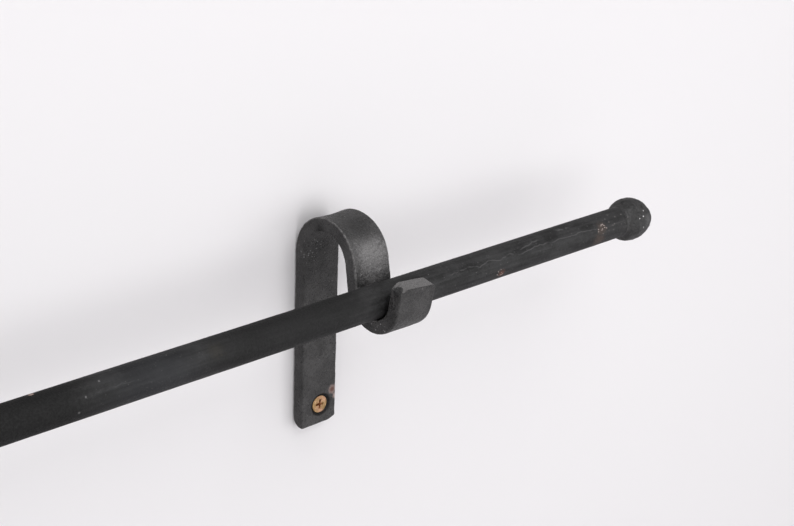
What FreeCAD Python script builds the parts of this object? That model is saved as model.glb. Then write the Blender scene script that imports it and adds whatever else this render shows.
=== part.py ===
import FreeCAD, Part
import math
import os

# A forged curtain rod in its two wall brackets. Each bracket is one flat strap: a leg that is screwed to
# the wall, a crook that turns back down over the top, a short limb, and an open hook that holds the rod
# from below. The rod is a tube. An insert in each end takes the stud of a ball finial.
#
# Millimetres. X runs along the rod, +Y points into the wall, +Z is up. The origin is on the wall's
# surface, midway between the two fixing screws.

Vector = FreeCAD.Vector

# ---- overall sizes ----
bracket_spacing = 620.0        # between the middles of the two brackets
rod_overhang = 162.5           # from the middle of a bracket to the tube's end

# ---- rod ----
rod_diameter = 16.0
tube_wall = 1.5

# ---- bracket strap, named in the order in which it runs from the leg's foot to the hook's tip ----
strap_width = 22.0
strap_thickness = 7.0
leg_below_screw = 9.8
leg_above_screw = 84.5
crook_outer_radius = 21.5
crook_turn = 170.0             # degrees
limb_length = 13.0
hook_play = 2.4                # hook's inner radius beyond the rod's radius
hook_turn = 159.0              # degrees
tip_length = 13.8              # along its inner edge, before that corner is knocked off
arris_radius = 0.7             # forged softening of the strap's long edges

foot_round = 5.4               # the foot's back edge, rounded towards the wall
foot_clip_wide = 4.7           # the foot's outer corner, knocked off
foot_clip_high = 1.6
tip_skew = 2.3                 # the tip's end slopes down by this much towards its outer edge
tip_clip_wide = 4.2            # the tip's inner corner, knocked off
tip_clip_high = 2.8

# ---- fixing screw ----
screw_length = 45.0
screw_diameter = 5.0           # over the thread
screw_neck_diameter = 3.7      # plain neck between the head and the thread
thread_start = 0.0             # beyond the wall's surface
screw_head_diameter = 9.6
screw_head_land = 0.3          # straight rim above the head's cone
screw_head_sunk = 1.0          # head's top below the strap's front face
screw_point_length = 7.0
screw_side_offset = 1.4        # off the strap's middle, away from the rod's middle
screw_hole_clearance = 0.25    # round the thread as it passes through
drive_length = 5.0
drive_width = 1.0
drive_depth = 2.3

# ---- finial and its fixing ----
finial_diameter = 22.6
finial_half_length = 14.5
finial_step = 0.4              # the finial's seat stands out this far round the tube
stud_diameter = 8.0
stud_in_insert = 16.0
stud_in_finial = 12.0
stud_end_gap = 1.0             # between the stud and the bottom of the finial's hole
stud_chamfer = 0.8
insert_length = 24.0

# ---- clearances ----
rod_rest_gap = 0.25            # under the rod, in the hook
turning_clearance = 0.05       # round a piece that turns inside another
finial_seat_gap = 0.15         # between the tube's end and the finial

# ---- worked out from the sizes above ----
rod_radius = rod_diameter / 2
tube_bore_radius = rod_radius - tube_wall
tube_half_length = bracket_spacing / 2 + rod_overhang
hook_inner_radius = rod_radius + hook_play
stud_radius = stud_diameter / 2
tapped_radius = stud_radius + turning_clearance
sink_radius = screw_head_diameter / 2 + screw_head_land + screw_head_sunk
along_x = Vector(1, 0, 0)
along_y = Vector(0, 1, 0)


def ahead(heading):
    """Direction of travel in the YZ plane, in degrees from +Z towards the room."""
    turn = math.radians(heading)
    return Vector(0, -math.sin(turn), math.cos(turn))


def beside(heading):
    """Direction to the right of travel, which is the wall's side on the leg."""
    turn = math.radians(heading)
    return Vector(0, math.cos(turn), math.sin(turn))


def strap_side(offset):
    """One long side of the strap's outline, this far beside its middle line, from foot to tip.

    Returns its edges, the points at its two ends, and the centre that the hook curls round.
    """
    half = strap_thickness / 2
    heading = 0.0
    point = Vector(0, -half, -leg_below_screw)
    steps = [
        ("run", leg_below_screw + leg_above_screw),
        ("turn", crook_outer_radius - half, crook_turn),
        ("run", limb_length),
        ("turn", hook_inner_radius + half, -hook_turn),
        ("run", tip_length),
    ]
    start = point + beside(heading) * offset
    edges = []
    centre = None
    for step in steps:
        here = point + beside(heading) * offset
        if step[0] == "run":
            point = point + ahead(heading) * step[1]
            there = point + beside(heading) * offset
            edges.append(Part.LineSegment(here, there).toShape())
            continue
        radius, angle = step[1:]
        inward = -1.0 if angle > 0 else 1.0
        centre = point + beside(heading) * (inward * radius)
        reach = radius - inward * offset
        middle = centre - beside(heading + angle / 2) * (inward * reach)
        heading += angle
        point = centre - beside(heading) * (inward * radius)
        there = point + beside(heading) * offset
        edges.append(Part.Arc(here, middle, there).toShape())
    return edges, start, there, centre


def hook_centre():
    """Centre that the hook curls round, in a bracket's own YZ plane."""
    return strap_side(0.0)[3]


def rod_axis():
    """Point on the rod's axis at X = 0, where the rod rests in the hooks."""
    centre = hook_centre()
    return centre + Vector(0, 0, rod_rest_gap - hook_play)


def strap_body():
    """The bent strap with square ends, centred on X = 0."""
    half = strap_thickness / 2
    back, back_foot, back_tip, _ = strap_side(half)
    front, front_foot, front_tip, _ = strap_side(-half)
    ends = [
        Part.LineSegment(back_foot, front_foot).toShape(),
        Part.LineSegment(back_tip, front_tip).toShape(),
    ]
    outline = Part.Wire(Part.__sortEdges__(back + front + ends))
    outline.translate(along_x * (-strap_width / 2))
    body = Part.Face(outline).extrude(along_x * strap_width)
    return body


def across_edges(shape, place, near):
    """Edges of the strap that lie along X within a short way of a point in the YZ plane."""
    found = []
    for edge in shape.Edges:
        middle = edge.BoundBox.Center
        level = edge.BoundBox.XLength > 0.9 * strap_width
        if level and math.hypot(middle.y - place.y, middle.z - place.z) < near:
            found.append(edge)
    return found


def prism(points, sweep):
    """Solid made by sweeping a flat outline of points."""
    return Part.Face(Part.makePolygon(points + [points[0]])).extrude(sweep)


def foot_clip():
    """Wedge that knocks off the foot's outer corner, on the +X side."""
    reach = strap_thickness
    edge = strap_width / 2
    points = [
        Vector(edge - foot_clip_wide, -2 * reach, -leg_below_screw),
        Vector(edge, -2 * reach, foot_clip_high - leg_below_screw),
        Vector(edge + reach, -2 * reach, foot_clip_high - leg_below_screw),
        Vector(edge + reach, -2 * reach, -leg_below_screw - reach),
        Vector(edge - foot_clip_wide, -2 * reach, -leg_below_screw - reach),
    ]
    return prism(points, along_y * (3 * reach))


def tip_cuts():
    """The skewed cut across the tip's end, and the wedge that knocks off its inner corner."""
    up = ahead(crook_turn - hook_turn)
    front = beside(crook_turn - hook_turn) * -1.0
    reach = strap_thickness
    inner = strap_side(0.0)[2] - along_x * (strap_width / 2) - front * reach
    outer = inner + along_x * strap_width
    skew_points = [
        inner,
        outer - up * tip_skew,
        outer + along_x * reach - up * tip_skew,
        outer + along_x * reach + up * reach,
        inner + up * reach,
    ]
    clip_points = [
        inner + along_x * tip_clip_wide,
        inner + along_x * tip_clip_wide + up * reach,
        inner - along_x * reach + up * reach,
        inner - along_x * reach - up * tip_clip_high,
        inner - up * tip_clip_high,
    ]
    return [prism(points, front * (2 * reach)) for points in (skew_points, clip_points)]


def screw_hole():
    """Clearance hole with its countersink, cut from the strap's front face."""
    radius = screw_diameter / 2 + screw_hole_clearance
    mouth = Vector(screw_side_offset, -strap_thickness, 0)
    drilled = Part.makeCylinder(radius, 3 * strap_thickness, mouth - along_y * strap_thickness, along_y)
    sink = Part.makeCone(sink_radius, radius, sink_radius - radius, mouth, along_y)
    return drilled.fuse(sink)


def bracket():
    """One forged bracket, centred on X = 0, as it stands at the rod's +X end."""
    body = strap_body()
    foot_back = Vector(0, 0, -leg_below_screw)
    body = body.makeFillet(foot_round, across_edges(body, foot_back, 0.5))
    for tool in [foot_clip()] + tip_cuts():
        body = body.cut(tool)
    body = soften_arrises(body)
    return body.cut(screw_hole())


def soften_arrises(body):
    """Round the long edges that run along both sides of the strap."""
    side = strap_width / 2
    long_edges = []
    for edge in body.Edges:
        box = edge.BoundBox
        on_side = abs(abs(box.Center.x) - side) < 1e-6 and box.XLength < 1e-6
        if on_side and edge.Length > tip_length / 2:
            long_edges.append(edge)
    return body.makeFillet(arris_radius, long_edges)


def bracket_screw():
    """Countersunk fixing screw, centred on X = 0 with its point towards the wall."""
    head_top = screw_head_sunk - strap_thickness
    head_radius = screw_head_diameter / 2
    neck_radius = screw_neck_diameter / 2
    thread_radius = screw_diameter / 2
    cone_end = screw_head_land + head_radius - neck_radius
    thread_end = screw_length - screw_point_length
    profile = [
        Vector(0, 0, 0),
        Vector(head_radius, 0, 0),
        Vector(head_radius, screw_head_land, 0),
        Vector(neck_radius, cone_end, 0),
        Vector(neck_radius, thread_start - head_top, 0),
        Vector(thread_radius, thread_start - head_top, 0),
        Vector(thread_radius, thread_end, 0),
        Vector(0, screw_length, 0),
    ]
    outline = Part.makePolygon(profile + [profile[0]])
    screw = Part.Face(outline).revolve(Vector(0, 0, 0), along_y, 360)
    screw = screw.cut(cross_drive())
    screw.translate(Vector(0, head_top, 0))
    return screw


def cross_drive():
    """Cross-shaped recess that narrows towards its bottom, at the origin along +Y."""
    length = drive_length
    blades = Part.makeBox(length, drive_depth, drive_width, Vector(-length / 2, 0, -drive_width / 2))
    upright = Part.makeBox(drive_width, drive_depth, length, Vector(-drive_width / 2, 0, -length / 2))
    taper = Part.makeCone(length / 2, drive_width / 2, drive_depth, Vector(0, 0, 0), along_y)
    return blades.fuse(upright).common(taper)


def rod_tube():
    """The rod, with an open end for each insert."""
    start = rod_axis() - along_x * tube_half_length
    outside = Part.makeCylinder(rod_radius, 2 * tube_half_length, start, along_x)
    inside = Part.makeCylinder(tube_bore_radius, 2 * tube_half_length, start, along_x)
    return outside.cut(inside)


def end_insert():
    """Tapped bush, flush with the tube's +X end."""
    start = rod_axis() + along_x * (tube_half_length - insert_length)
    outside = Part.makeCylinder(tube_bore_radius - turning_clearance, insert_length, start, along_x)
    tapped = Part.makeCylinder(tapped_radius, insert_length, start, along_x)
    return outside.cut(tapped)


def finial_stud():
    """Threaded stud that joins the +X finial to its insert."""
    seat = tube_half_length + finial_seat_gap
    start = rod_axis() + along_x * (tube_half_length - stud_in_insert)
    length = seat + stud_in_finial - (tube_half_length - stud_in_insert)
    stud = Part.makeCylinder(stud_radius, length, start, along_x)
    ends = [edge for edge in stud.Edges if edge.BoundBox.XLength < 1e-6]
    return stud.makeChamfer(stud_chamfer, ends)


def ball_finial():
    """Ball at the rod's +X end: an egg shape on the rod's axis, cut flat where it seats on the tube."""
    radius = finial_diameter / 2
    seat_radius = rod_radius + finial_step
    seat = rod_axis() + along_x * (tube_half_length + finial_seat_gap)
    share = seat_radius / radius
    behind = finial_half_length * math.sqrt(1 - share * share)
    centre = seat + along_x * behind
    major = centre + along_x * finial_half_length
    minor = centre + Vector(0, 0, radius)
    egg = Part.Ellipse(major, minor, centre)
    seat_rim = seat + Vector(0, 0, seat_radius)
    arc = Part.Arc(egg, egg.parameter(major), egg.parameter(seat_rim)).toShape()
    rest = Part.makePolygon([seat_rim, seat, major])
    profile = Part.Wire(Part.__sortEdges__([arc] + rest.Edges))
    body = Part.Face(profile).revolve(rod_axis(), along_x, 360)
    hole = Part.makeCylinder(tapped_radius, stud_in_finial + stud_end_gap, seat, along_x)
    return body.cut(hole)


def at_bracket(shape, sideways=0.0):
    """Move a piece from X = 0 to the +X bracket, and this much further out."""
    moved = shape.copy()
    moved.translate(along_x * (bracket_spacing / 2 + sideways))
    return moved


def other_side(shape):
    """The matching piece at the -X end."""
    return shape.mirror(Vector(0, 0, 0), along_x)


def save(name, shape):
    """Write one piece as the solids it is made of."""
    solids = shape.Solids
    whole = solids[0] if len(solids) == 1 else Part.makeCompound(solids)
    if not whole.isValid():
        raise ValueError(name + " is not a valid solid")
    whole.exportStep("parts/" + name + ".step")
    print(name, len(solids), "solid", round(whole.Volume, 1), "mm3")


def main():
    """Build every piece and write its file."""
    os.makedirs("parts", exist_ok=True)
    pairs = {
        "bracket": at_bracket(bracket()),
        "bracket_screw": at_bracket(bracket_screw(), screw_side_offset),
        "end_insert": end_insert(),
        "finial_stud": finial_stud(),
        "ball_finial": ball_finial(),
    }
    save("rod_tube", rod_tube())
    for name, shape in pairs.items():
        save("right_" + name, shape)
        save("left_" + name, other_side(shape))
    axis = rod_axis()
    print("rod axis", round(axis.y, 3), round(axis.z, 3))


main()
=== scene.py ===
import logging
import math
from dataclasses import dataclass
from enum import Enum
from typing import Callable, Sequence

import bmesh
import bpy
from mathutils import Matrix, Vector, noise


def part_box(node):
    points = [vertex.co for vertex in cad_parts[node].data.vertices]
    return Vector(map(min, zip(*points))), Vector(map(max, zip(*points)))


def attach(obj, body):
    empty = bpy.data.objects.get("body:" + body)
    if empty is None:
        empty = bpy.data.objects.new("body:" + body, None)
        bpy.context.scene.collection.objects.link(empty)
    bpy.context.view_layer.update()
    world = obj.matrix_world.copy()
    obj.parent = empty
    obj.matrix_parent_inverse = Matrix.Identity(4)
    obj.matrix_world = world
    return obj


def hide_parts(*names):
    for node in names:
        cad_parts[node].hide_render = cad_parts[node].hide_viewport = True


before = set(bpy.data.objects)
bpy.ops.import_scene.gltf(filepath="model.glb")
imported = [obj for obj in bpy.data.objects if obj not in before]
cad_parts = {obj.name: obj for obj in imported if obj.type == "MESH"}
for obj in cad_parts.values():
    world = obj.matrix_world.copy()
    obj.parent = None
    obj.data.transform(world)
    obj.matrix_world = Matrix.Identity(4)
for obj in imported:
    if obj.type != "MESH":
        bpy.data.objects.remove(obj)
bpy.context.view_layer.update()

# A forged curtain rod in its two open wall brackets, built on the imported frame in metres.
# X runs along the rod, +Y points into the wall and +Z is up.

log = logging.getLogger("curtain_rod")

MM = 0.001
X_AXIS = Vector((1.0, 0.0, 0.0))

Point = tuple[float, float, float]
Faces = list[list[int]]
Relief = Callable[[Vector, Vector], float]
Placing = Callable[[float, float, float], Vector]
Ripples = tuple[tuple[float, float, float, int], ...]


class Side(Enum):
    """The two ends of the rod."""

    RIGHT = 1
    LEFT = -1

    @property
    def word(self) -> str:
        """The side's name as the nodes spell it."""
        return self.name.lower()


class Axis(Enum):
    """The line that a turned piece is built round."""

    ALONG_ROD = "x"
    INTO_WALL = "y"


# ---------------------------------------------------------------- shape helpers


def soft_limit(depth: float, soft: float) -> float:
    """Keep a signed distance at or below zero, easing into the limit.

    Args:
        depth: Distance past the limit, negative inside.
        soft: Distance over which the limit eases in.

    Returns:
        The limited distance.
    """
    if depth <= -soft:
        return depth
    if depth >= soft:
        return 0.0
    return -((soft - depth) ** 2) / (4.0 * soft)


def bump(distance: float, reach: float) -> float:
    """A smooth hill: 1 at no distance, 0 at reach and beyond."""
    if distance >= reach:
        return 0.0
    share = 1.0 - (distance / reach) ** 2
    return share * share


def wander(place: Vector, size: float, seed: float, octaves: int = 3) -> float:
    """A smooth random value, about -1 to 1.

    Args:
        place: Where it is read.
        size: Distance over which it changes.
        seed: Picks another pattern.
        octaves: How many finer layers it holds.

    Returns:
        The value.
    """
    shifted = place / size + Vector((seed, 1.7 * seed, -0.6 * seed))
    return noise.fractal(shifted, 0.9, 2.1, octaves)


def rippled(place: Vector, seed: float, ripples: Ripples) -> float:
    """Depth of several layers of unevenness together.

    Args:
        place: Where it is read.
        seed: Picks another pattern.
        ripples: The layers, as (depth, size, added seed, octaves).

    Returns:
        The depth.
    """
    return sum(
        depth * wander(place, size, seed + added, octaves)
        for depth, size, added, octaves in ripples
    )


def new_piece(name: str, points: Sequence[Vector], faces: Faces) -> bpy.types.Object:
    """Make a smooth-shaded mesh object with its faces turned outwards.

    Args:
        name: The piece's name.
        points: Its vertices, in the row frame.
        faces: Its faces, as lists of vertex numbers.

    Returns:
        The object, linked to the scene.
    """
    mesh = bpy.data.meshes.new(name)
    mesh.from_pydata([tuple(point) for point in points], [], faces)
    shaped = bmesh.new()
    shaped.from_mesh(mesh)
    bmesh.ops.recalc_face_normals(shaped, faces=shaped.faces)
    shaped.to_mesh(mesh)
    shaped.free()
    mesh.validate()
    for polygon in mesh.polygons:
        polygon.use_smooth = True
    piece = bpy.data.objects.new(name, mesh)
    bpy.context.scene.collection.objects.link(piece)
    return piece


def lathe(
    rings: Sequence[tuple[float, float]],
    sides: int,
    place: Placing,
    closed: bool = False,
) -> tuple[list[Vector], Faces]:
    """Turn a profile round an axis.

    Args:
        rings: The profile, as (distance along the axis, radius). A radius of 0 ends it in a point.
        sides: Steps round the axis.
        place: Gives a vertex from its distance along the axis, radius and angle.
        closed: Whether the last ring joins the first, as on a tube.

    Returns:
        Vertices and faces.
    """
    points: list[Vector] = []
    starts: list[tuple[int, int]] = []
    for along, radius in rings:
        count = sides if radius > 0.0 else 1
        starts.append((len(points), count))
        for step in range(count):
            points.append(place(along, radius, math.tau * step / sides))
    faces: Faces = []
    pairs = list(zip(starts, starts[1:]))
    if closed:
        pairs.append((starts[-1], starts[0]))
    for (low, low_count), (high, high_count) in pairs:
        for step in range(sides):
            after = (step + 1) % sides
            corners = [low + step % low_count, low + after % low_count]
            corners += [high + after % high_count, high + step % high_count]
            faces.append(list(dict.fromkeys(corners)))
    return points, faces


def bands(rows: int, count: int) -> Faces:
    """Faces that join closed rows of vertices, each to the next.

    Args:
        rows: How many rows.
        count: Vertices in a row.

    Returns:
        The faces.
    """
    faces: Faces = []
    for low in range(0, (rows - 1) * count, count):
        for column in range(count):
            after = (column + 1) % count
            high = low + count
            faces.append([low + column, low + after, high + after, high + column])
    return faces


def around(centre: Vector, axis: Axis, outward: int = 1) -> Placing:
    """A placing function for lathe.

    Args:
        centre: Point on the axis where the distance along it is 0.
        axis: Which way the axis runs.
        outward: 1 to run along the axis, -1 to run the other way, as a half turn and not a mirror.

    Returns:
        The function.
    """

    def place(along: float, radius: float, angle: float) -> Vector:
        """Vertex at this distance along the axis, radius and angle."""
        low, high = radius * math.cos(angle), radius * math.sin(angle)
        if axis is Axis.ALONG_ROD:
            return centre + Vector((outward * along, outward * low, high))
        return centre + Vector((high, along, low))

    return place


def end_place(side: Side, node: str) -> tuple[Vector, float, float]:
    """Where a turned piece stands at one end of the rod.

    Args:
        side: Which end.
        node: The piece's node, without its side.

    Returns:
        The middle of its inner face, its radius and its length.
    """
    low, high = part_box(f"{side.word}_{node}")
    inner = low.x if side is Side.RIGHT else high.x
    centre = Vector((inner, (low.y + high.y) / 2, (low.z + high.z) / 2))
    return centre, (high.z - low.z) / 2, high.x - low.x


def spaced(start: float, end: float, step: float) -> list[float]:
    """Evenly spaced values from start to end, both included, at most step apart."""
    count = max(1, math.ceil(abs(end - start) / step))
    return [start + (end - start) * k / count for k in range(count + 1)]


def relieve(piece: bpy.types.Object, relief: Relief) -> None:
    """Move each vertex along its normal.

    Args:
        piece: The piece to work on.
        relief: Gives the distance from a vertex's place and normal.
    """
    mesh = piece.data
    normals = [vertex.normal.copy() for vertex in mesh.vertices]
    for vertex, normal in zip(mesh.vertices, normals):
        vertex.co += normal * relief(vertex.co.copy(), normal)
    mesh.update()


def cut_away(piece: bpy.types.Object, tool: bpy.types.Object) -> None:
    """Cut a tool's shape out of a piece, and remove the tool."""
    step = piece.modifiers.new("cut", "BOOLEAN")
    step.operation = "DIFFERENCE"
    step.solver = "EXACT"
    step.object = tool
    graph = bpy.context.evaluated_depsgraph_get()
    cut = bpy.data.meshes.new_from_object(piece.evaluated_get(graph), depsgraph=graph)
    piece.modifiers.clear()
    piece.data = cut
    cut.name = piece.name
    bpy.data.objects.remove(tool)


def sharpen(piece: bpy.types.Object, degrees: float) -> None:
    """Shade smooth, apart from edges that turn more than this."""
    shaped = bmesh.new()
    shaped.from_mesh(piece.data)
    limit = math.radians(degrees)
    for edge in shaped.edges:
        edge.smooth = len(edge.link_faces) == 2 and edge.calc_face_angle(0.0) < limit
    shaped.to_mesh(piece.data)
    shaped.free()


# ---------------------------------------------------------------- shader helpers


Signal = bpy.types.NodeSocket


class Wiring:
    """Adds nodes to one node tree and joins them up."""

    def __init__(self, tree: bpy.types.NodeTree) -> None:
        """Work on this tree."""
        self.tree = tree

    def node(self, kind: str, feeds: dict | None = None, **settings: object) -> bpy.types.Node:
        """Add a node.

        Args:
            kind: Its bpy type.
            feeds: Socket name or number to a value or to another node's output.
            settings: Properties of the node itself.

        Returns:
            The node.
        """
        made = self.tree.nodes.new(kind)
        for name, value in settings.items():
            setattr(made, name, value)
        for key, value in (feeds or {}).items():
            if isinstance(value, bpy.types.NodeSocket):
                self.tree.links.new(value, made.inputs[key])
            else:
                made.inputs[key].default_value = value
        return made

    def math(
        self, operation: str, first: object, second: object = 0.0, clamp: bool = False
    ) -> Signal:
        """Output of a Math node on two values or sockets."""
        feeds = {0: first, 1: second}
        return self.node("ShaderNodeMath", feeds, operation=operation, use_clamp=clamp).outputs[0]

    def plus(self, first: object, second: object, clamp: bool = False) -> Signal:
        """Output of first + second."""
        return self.math("ADD", first, second, clamp)

    def minus(self, first: object, second: object) -> Signal:
        """Output of first - second."""
        return self.math("SUBTRACT", first, second)

    def times(self, first: object, second: object, clamp: bool = False) -> Signal:
        """Output of first x second."""
        return self.math("MULTIPLY", first, second, clamp)

    def vector(
        self, operation: str, first: object, second: object, result: str = "Vector"
    ) -> Signal:
        """Output of a Vector Math node on two vectors or sockets."""
        feeds = {0: first, 1: second}
        return self.node("ShaderNodeVectorMath", feeds, operation=operation).outputs[result]

    def between(self, value: object, low: object, high: object) -> Signal:
        """Output that rises smoothly from 0 at low to 1 at high."""
        feeds = {"Value": value, "From Min": low, "From Max": high}
        made = self.node("ShaderNodeMapRange", feeds, interpolation_type="SMOOTHSTEP")
        return made.outputs["Result"]

    def outside(self, value: object, low: object, high: object) -> Signal:
        """Output that falls smoothly from 1 at low to 0 at high."""
        return self.minus(1.0, self.between(value, low, high))

    def blend(self, share: object, first: object, second: object) -> Signal:
        """Output colour between first, at share 0, and second, at share 1."""
        feeds = {0: share, 6: first, 7: second}
        return self.node("ShaderNodeMix", feeds, data_type="RGBA").outputs[2]

    def noise(
        self, place: object, scale: object, detail: float = 3.0, rough: float = 0.55
    ) -> Signal:
        """Output value of a noise texture."""
        feeds = {"Vector": place, "Scale": scale, "Detail": detail, "Roughness": rough}
        return self.node("ShaderNodeTexNoise", feeds).outputs["Fac"]

    def cells(self, place: object, scale: object) -> bpy.types.NodeOutputs:
        """Outputs of a texture of scattered cells."""
        feeds = {"Vector": place, "Scale": scale}
        return self.node("ShaderNodeTexVoronoi", feeds, feature="F1").outputs

    def give(self, **results: object) -> bpy.types.NodeTree:
        """Join results to the group's outputs by name, and return the finished group."""
        self.node("NodeGroupOutput", results)
        return self.tree


class Effects:
    """The shader node groups that the finishes share, each built once."""

    def __init__(self) -> None:
        """Build every group."""
        self.mottling = self._mottling()
        self.grain = self._grain()
        self.arris_wear = self._arris_wear()
        self.specks = self._specks()
        self.scratches = self._scratches()
        self.patch = self._patch()
        self.seam = self._seam()

    @staticmethod
    def _start(
        name: str,
        numbers: dict[str, float],
        vectors: Sequence[str] = (),
        outputs: Sequence[str] = ("Mask",),
    ) -> tuple[Wiring, bpy.types.NodeOutputs]:
        """Make an empty group, with its place as the first input.

        Args:
            name: The group's name.
            numbers: Its number inputs and their usual values.
            vectors: Its further vector inputs.
            outputs: Its outputs, all numbers.

        Returns:
            Its wiring, and its inputs' sockets by name.
        """
        tree = bpy.data.node_groups.new(name, "ShaderNodeTree")
        for vector in ("Place", *vectors):
            tree.interface.new_socket(vector, in_out="INPUT", socket_type="NodeSocketVector")
        for number, value in numbers.items():
            made = tree.interface.new_socket(number, in_out="INPUT", socket_type="NodeSocketFloat")
            made.default_value = value
        for output in outputs:
            tree.interface.new_socket(output, in_out="OUTPUT", socket_type="NodeSocketFloat")
        wiring = Wiring(tree)
        return wiring, wiring.node("NodeGroupInput").outputs

    def _mottling(self) -> bpy.types.NodeTree:
        """Cloudy change of tone, as on heated and oiled steel."""
        wiring, given = self._start("Heat mottling", {"Scale": 120.0, "Contrast": 0.2})
        broad = wiring.noise(given["Place"], given["Scale"], 4.0, 0.6)
        low = wiring.minus(0.5, given["Contrast"])
        return wiring.give(Mask=wiring.between(broad, low, wiring.plus(0.5, given["Contrast"])))

    def _grain(self) -> bpy.types.NodeTree:
        """Fine blasted grain with small pits, about three grains apart."""
        numbers = {"Scale": 1200.0, "Pits": 0.4}
        wiring, given = self._start("Blasted grain", numbers, outputs=["Height"])
        fine = wiring.noise(given["Place"], given["Scale"], 3.0, 0.7)
        pit_scale = wiring.times(given["Scale"], 0.35)
        cells = wiring.cells(given["Place"], pit_scale)
        pit = wiring.outside(cells["Distance"], 0.05, 0.4)
        return wiring.give(Height=wiring.minus(fine, wiring.times(pit, given["Pits"])))

    def _arris_wear(self) -> bpy.types.NodeTree:
        """Broken wear along the piece's edges, from how near each point is to one."""
        wiring, given = self._start("Arris wear", {"Scale": 500.0, "Amount": 0.5})
        near = wiring.node("ShaderNodeAttribute", attribute_name="arris").outputs["Fac"]
        broken = wiring.noise(given["Place"], given["Scale"], 4.0, 0.65)
        raised = wiring.plus(wiring.times(near, 0.7), wiring.times(broken, 0.6))
        limit = wiring.minus(1.15, wiring.times(given["Amount"], 0.5))
        worn = wiring.between(raised, limit, wiring.plus(limit, 0.16))
        return wiring.give(Mask=wiring.times(worn, near, clamp=True))

    def _specks(self) -> bpy.types.NodeTree:
        """Scattered small chips, of which only a share is kept."""
        numbers = {"Scale": 450.0, "Size": 0.16, "Share": 0.4}
        wiring, given = self._start("Bright specks", numbers)
        cells = wiring.cells(given["Place"], given["Scale"])
        ragged = wiring.times(wiring.noise(given["Place"], 2600.0, 2.0), 0.18)
        edge = wiring.plus(cells["Distance"], ragged)
        dot = wiring.outside(edge, given["Size"], wiring.plus(given["Size"], 0.09))
        parts = wiring.node("ShaderNodeSeparateColor", {"Color": cells["Color"]}).outputs
        kept = wiring.math("LESS_THAN", parts[0], given["Share"])
        return wiring.give(Mask=wiring.times(dot, kept))

    def _scratches(self) -> bpy.types.NodeTree:
        """Fine scratches that run along X, in some areas only."""
        numbers = {"Scale": 620.0, "Run": 0.05, "Share": 0.5}
        wiring, given = self._start("Long scratches", numbers, outputs=["Mask", "Height"])
        stretch = wiring.node("ShaderNodeCombineXYZ", {"X": given["Run"], "Y": 1.0, "Z": 1.0})
        drawn = wiring.vector("MULTIPLY", given["Place"], stretch.outputs[0])
        lines = wiring.noise(drawn, given["Scale"], 2.0, 0.5)
        limit = wiring.minus(0.85, wiring.times(given["Share"], 0.3))
        mark = wiring.between(lines, limit, wiring.plus(limit, 0.05))
        area = wiring.between(wiring.noise(given["Place"], 60.0, 2.0), 0.45, 0.62)
        return wiring.give(Mask=wiring.times(mark, area), Height=lines)

    def _patch(self) -> bpy.types.NodeTree:
        """One ragged patch round a stated place, used for wear and rust and for painted highlights
        and shade.
        """
        numbers = {"Radius": 0.004, "Ragged": 0.6, "Core": 0.7}
        wiring, given = self._start("Wear and painted light patch", numbers, ["Centre"])
        away = wiring.vector("DISTANCE", given["Place"], given["Centre"], "Value")
        share = wiring.math("DIVIDE", away, given["Radius"])
        edge = wiring.minus(wiring.noise(given["Place"], 700.0, 4.0, 0.7), 0.5)
        share = wiring.plus(share, wiring.times(edge, given["Ragged"]))
        return wiring.give(Mask=wiring.outside(share, given["Core"], 1.0))

    def _seam(self) -> bpy.types.NodeTree:
        """A thin line along X that wanders in Z and fades over its last 4 mm."""
        numbers = {"Start": 0.0, "End": 0.1, "Level": 0.0, "Slope": 0.0, "Width": 0.00035}
        wiring, given = self._start("Wandering seam", numbers)
        parts = wiring.node("ShaderNodeSeparateXYZ", {0: given["Place"]}).outputs
        along = wiring.minus(parts["X"], given["Start"])
        line = wiring.node("ShaderNodeCombineXYZ", {"X": parts["X"]}).outputs[0]
        sway = wiring.minus(wiring.noise(line, 75.0, 3.0, 0.6), 0.5)
        level = wiring.plus(given["Level"], wiring.times(sway, 0.006))
        level = wiring.plus(level, wiring.times(along, given["Slope"]))
        off = wiring.math("ABSOLUTE", wiring.minus(parts["Z"], level))
        near = wiring.outside(off, 0.0, given["Width"])
        begun = wiring.between(along, 0.0, 4 * MM)
        left = wiring.between(wiring.minus(given["End"], parts["X"]), 0.0, 4 * MM)
        broken = wiring.between(wiring.noise(given["Place"], 160.0, 3.0), 0.35, 0.55)
        inside = wiring.times(wiring.times(begun, left), broken)
        return wiring.give(Mask=wiring.times(near, inside))


Colour = tuple[float, float, float, float]


def grey(value: float, warm: float = 0.0) -> Colour:
    """A near-neutral colour; warm above 0 is browner and below 0 is bluer."""
    return (value * (1.0 + warm), 0.985 * value, value * (1.0 - warm), 1.0)


@dataclass(frozen=True)
class Patch:
    """A place where a finish differs: rubbed, rusted, chipped or darkened, or carrying a painted
    highlight or painted shade.
    """

    centre: Vector
    radius: float
    colour: Colour
    strength: float = 1.0
    ragged: float = 0.6
    rougher: float = 0.1
    core: float = 0.7
    flecks: float = 0.0
    fleck_scale: float = 800.0


def laid_out(spot: Placing, rows: Sequence[tuple]) -> tuple[Patch, ...]:
    """Patches from a table.

    Args:
        spot: Gives a place from x, y and z in mm.
        rows: Each as x, y, z and radius in mm, and then Patch's other fields in their order.

    Returns:
        The patches.
    """
    return tuple(Patch(spot(*row[:3]), row[3] * MM, *row[4:]) for row in rows)


@dataclass(frozen=True)
class Seam:
    """A thin wandering line that runs along X."""

    start: float
    end: float
    z: float
    slope: float = 0.0
    strength: float = 0.5


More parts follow.
